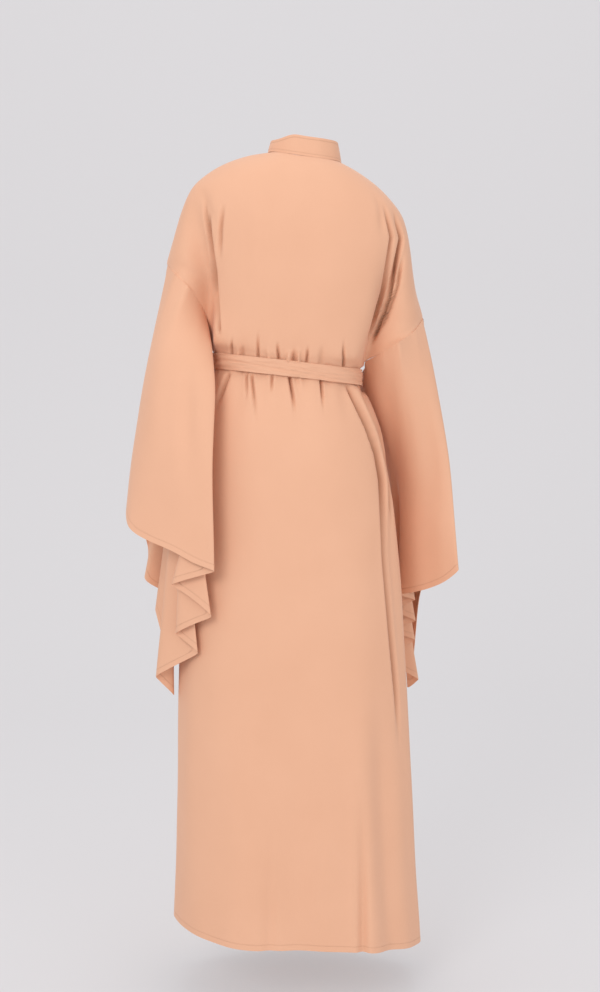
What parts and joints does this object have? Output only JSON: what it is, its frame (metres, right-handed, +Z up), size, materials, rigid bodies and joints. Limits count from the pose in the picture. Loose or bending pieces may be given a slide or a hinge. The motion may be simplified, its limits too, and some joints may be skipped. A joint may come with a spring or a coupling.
{
  "type": "long-sleeved prayer dress",
  "caption": "Full-length loose dress with a stand collar, dropped shoulders, wide flared sleeves that fall in a cascade, overlapping open fronts and a knotted belt, in worn form.",
  "frame": {"origin": "middle of the neck opening, level with the shoulder seams", "axes": "+Z up the wearer, -Y out of the front, +X to the wearer's left"},
  "size_m": [0.608, 0.344, 1.4792],
  "materials": {
    "crepe": "matte crepe",
    "collar": "matte crepe",
    "belt": "matte crepe"
  },
  "bodies": {
    "root": {"back": "crepe", "front_left": "crepe", "front_right": "crepe", "sleeve_left": "crepe", "sleeve_right": "crepe", "collar": "collar", "belt": "belt", "belt_knot": "belt", "belt_tail_left": "belt", "belt_tail_right": "belt"}
  },
  "joints": []
}
